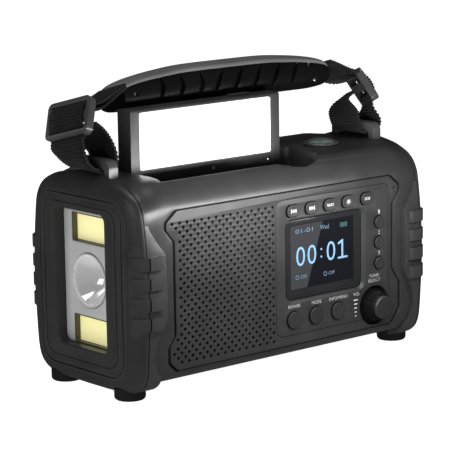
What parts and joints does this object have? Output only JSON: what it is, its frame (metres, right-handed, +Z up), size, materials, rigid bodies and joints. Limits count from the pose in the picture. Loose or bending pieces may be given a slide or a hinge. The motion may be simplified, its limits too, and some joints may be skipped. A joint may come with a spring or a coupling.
{
  "type": "emergency radio",
  "caption": "Rugged hand-carried emergency radio with end lamps, speaker face, display and controls, folding lamp flap, compass, rear crank and webbing-hung grip.",
  "frame": {"origin": "on the floor under the middle of the overall box", "axes": "+X along the length away from the lamp end, -Y out of the control face, +Z up"},
  "size_m": [0.2244, 0.1108, 0.1689],
  "materials": {
    "shell": "fine matte texture",
    "bumper": "satin rubber",
    "foot": "matte",
    "face": "matte",
    "button": "satin",
    "knob": "gloss",
    "lamp_plate": "satin",
    "flood": "smooth",
    "reflector": "mirror",
    "led": "gloss",
    "screen": "gloss",
    "board": "gloss",
    "steel": "brushed",
    "chrome": "polished",
    "brass": "machined",
    "gear": "moulded",
    "paper": "pressed fibre",
    "cell": "shrink wrap",
    "diffuser": "milky",
    "solar": "gloss",
    "clear": "clear",
    "card": "printed",
    "lug": "satin",
    "webbing": "ribbed weave",
    "buckle": "satin",
    "grip": "satin"
  },
  "bodies": {
    "body": {"front_shell": "shell", "rear_shell": "shell", "left_bumper": "bumper", "right_bumper": "bumper", "left_end_cap": "bumper", "right_end_cap": "bumper", "left_front_foot": "foot", "left_rear_foot": "foot", "right_front_foot": "foot", "right_rear_foot": "foot", "front_panel": "face", "control_panel": "face", "lamp_plate": "lamp_plate", "upper_flood_panel": "flood", "lower_flood_panel": "flood", "spot_reflector": "reflector", "spot_led": "led", "screen_window": "screen", "display_module": "screen", "main_board": "board", "encoder": "steel", "dynamo": "steel", "speaker_frame": "steel", "speaker_cone": "paper", "battery_pack": "cell", "compass_cover": "clear", "left_lug": "lug", "right_lug": "lug", "compass_housing": "lug", "left_loop": "webbing", "right_loop": "webbing"},
    "power_button": {"power_button": "button"},
    "mode_button": {"mode_button": "button"},
    "menu_button": {"menu_button": "button"},
    "preset_button_1": {"preset_button_1": "button"},
    "preset_button_2": {"preset_button_2": "button"},
    "preset_button_3": {"preset_button_3": "button"},
    "function_button_1": {"function_button_1": "button"},
    "function_button_2": {"function_button_2": "button"},
    "function_button_3": {"function_button_3": "button"},
    "function_button_4": {"function_button_4": "button"},
    "function_button_5": {"function_button_5": "button"},
    "flap": {"flap_frame": "shell", "lamp_diffuser": "diffuser", "solar_panel": "solar"},
    "handle": {"grip": "grip", "left_buckle": "buckle", "right_buckle": "buckle", "left_strap": "webbing", "right_strap": "webbing"},
    "volume": {"volume_ring": "knob"},
    "tuner_shaft": {"encoder_shaft": "steel"},
    "tuner": {"tuning_knob": "knob"},
    "crank": {"crank_gear": "gear", "crank_arm": "shell"},
    "crank_grip": {"crank_knob": "knob"},
    "pinion": {"dynamo_pinion": "brass"},
    "antenna": {"antenna_mast": "chrome"},
    "antenna_end": {"antenna_tip": "chrome"},
    "compass": {"compass_card": "card"}
  },
  "joints": [
    {"name": "power_button_press", "type": "slide", "parent": "body", "child": "power_button", "axis": [0, 1, 0], "range_m": [0, 0.001], "stiffness_N_per_m": 300, "springref_m": -0.0005},
    {"name": "mode_button_press", "type": "slide", "parent": "body", "child": "mode_button", "axis": [0, 1, 0], "range_m": [0, 0.001], "stiffness_N_per_m": 300, "springref_m": -0.0005},
    {"name": "menu_button_press", "type": "slide", "parent": "body", "child": "menu_button", "axis": [0, 1, 0], "range_m": [0, 0.001], "stiffness_N_per_m": 300, "springref_m": -0.0005},
    {"name": "preset_button_1_press", "type": "slide", "parent": "body", "child": "preset_button_1", "axis": [0, 1, 0], "range_m": [0, 0.001], "stiffness_N_per_m": 300, "springref_m": -0.0005},
    {"name": "preset_button_2_press", "type": "slide", "parent": "body", "child": "preset_button_2", "axis": [0, 1, 0], "range_m": [0, 0.001], "stiffness_N_per_m": 300, "springref_m": -0.0005},
    {"name": "preset_button_3_press", "type": "slide", "parent": "body", "child": "preset_button_3", "axis": [0, 1, 0], "range_m": [0, 0.001], "stiffness_N_per_m": 300, "springref_m": -0.0005},
    {"name": "function_button_1_press", "type": "slide", "parent": "body", "child": "function_button_1", "axis": [0, 1, 0], "range_m": [0, 0.001], "stiffness_N_per_m": 300, "springref_m": -0.0005},
    {"name": "function_button_2_press", "type": "slide", "parent": "body", "child": "function_button_2", "axis": [0, 1, 0], "range_m": [0, 0.001], "stiffness_N_per_m": 300, "springref_m": -0.0005},
    {"name": "function_button_3_press", "type": "slide", "parent": "body", "child": "function_button_3", "axis": [0, 1, 0], "range_m": [0, 0.001], "stiffness_N_per_m": 300, "springref_m": -0.0005},
    {"name": "function_button_4_press", "type": "slide", "parent": "body", "child": "function_button_4", "axis": [0, 1, 0], "range_m": [0, 0.001], "stiffness_N_per_m": 300, "springref_m": -0.0005},
    {"name": "function_button_5_press", "type": "slide", "parent": "body", "child": "function_button_5", "axis": [0, 1, 0], "range_m": [0, 0.001], "stiffness_N_per_m": 300, "springref_m": -0.0005},
    {"name": "flap_hinge", "type": "hinge", "parent": "body", "child": "flap", "pos_m": [0, 0.001, 0.1156], "axis": [1, 0, 0], "range_deg": [0, 90]},
    {"name": "handle_lean", "type": "hinge", "parent": "body", "child": "handle", "pos_m": [0, 0, 0.123], "axis": [1, 0, 0], "range_deg": [-30, 0], "deforming": ["left_loop", "right_loop"]},
    {"name": "volume_turn", "type": "hinge", "parent": "body", "child": "volume", "pos_m": [0.0657, -0.045, 0.028], "axis": [0, -1, 0], "range_deg": [-140, 140]},
    {"name": "select_press", "type": "slide", "parent": "body", "child": "tuner_shaft", "axis": [0, 1, 0], "range_m": [0, 0.0005], "stiffness_N_per_m": 600, "springref_m": -0.0005},
    {"name": "tuning_turn", "type": "hinge", "parent": "tuner_shaft", "child": "tuner", "pos_m": [0.0657, -0.0511, 0.028], "axis": [0, -1, 0], "continuous": true},
    {"name": "crank_turn", "type": "hinge", "parent": "body", "child": "crank", "pos_m": [-0.04, 0.0374, 0.06], "axis": [0, 1, 0], "continuous": true},
    {"name": "crank_knob_spin", "type": "hinge", "parent": "crank", "child": "crank_grip", "pos_m": [-0.04, 0.042, 0.0325], "axis": [0, 1, 0], "continuous": true},
    {"name": "dynamo_spin", "type": "hinge", "parent": "body", "child": "pinion", "pos_m": [-0.004, 0.025, 0.06], "axis": [0, 1, 0], "continuous": true},
    {"name": "antenna_swing", "type": "hinge", "parent": "body", "child": "antenna", "pos_m": [0.083, 0.0508, 0.104], "axis": [0, 1, 0], "range_deg": [0, 180]},
    {"name": "antenna_pull", "type": "slide", "parent": "antenna", "child": "antenna_end", "axis": [-1, 0, 0], "range_m": [0, 0.12]},
    {"name": "compass_turn", "type": "hinge", "parent": "body", "child": "compass", "pos_m": [0.0608, -0.0079, 0.1172], "axis": [0, 0, 1], "continuous": true}
  ],
  "couplings": [
    {"joint": "dynamo_spin", "follows": "crank_turn", "ratio": -3}
  ]
}
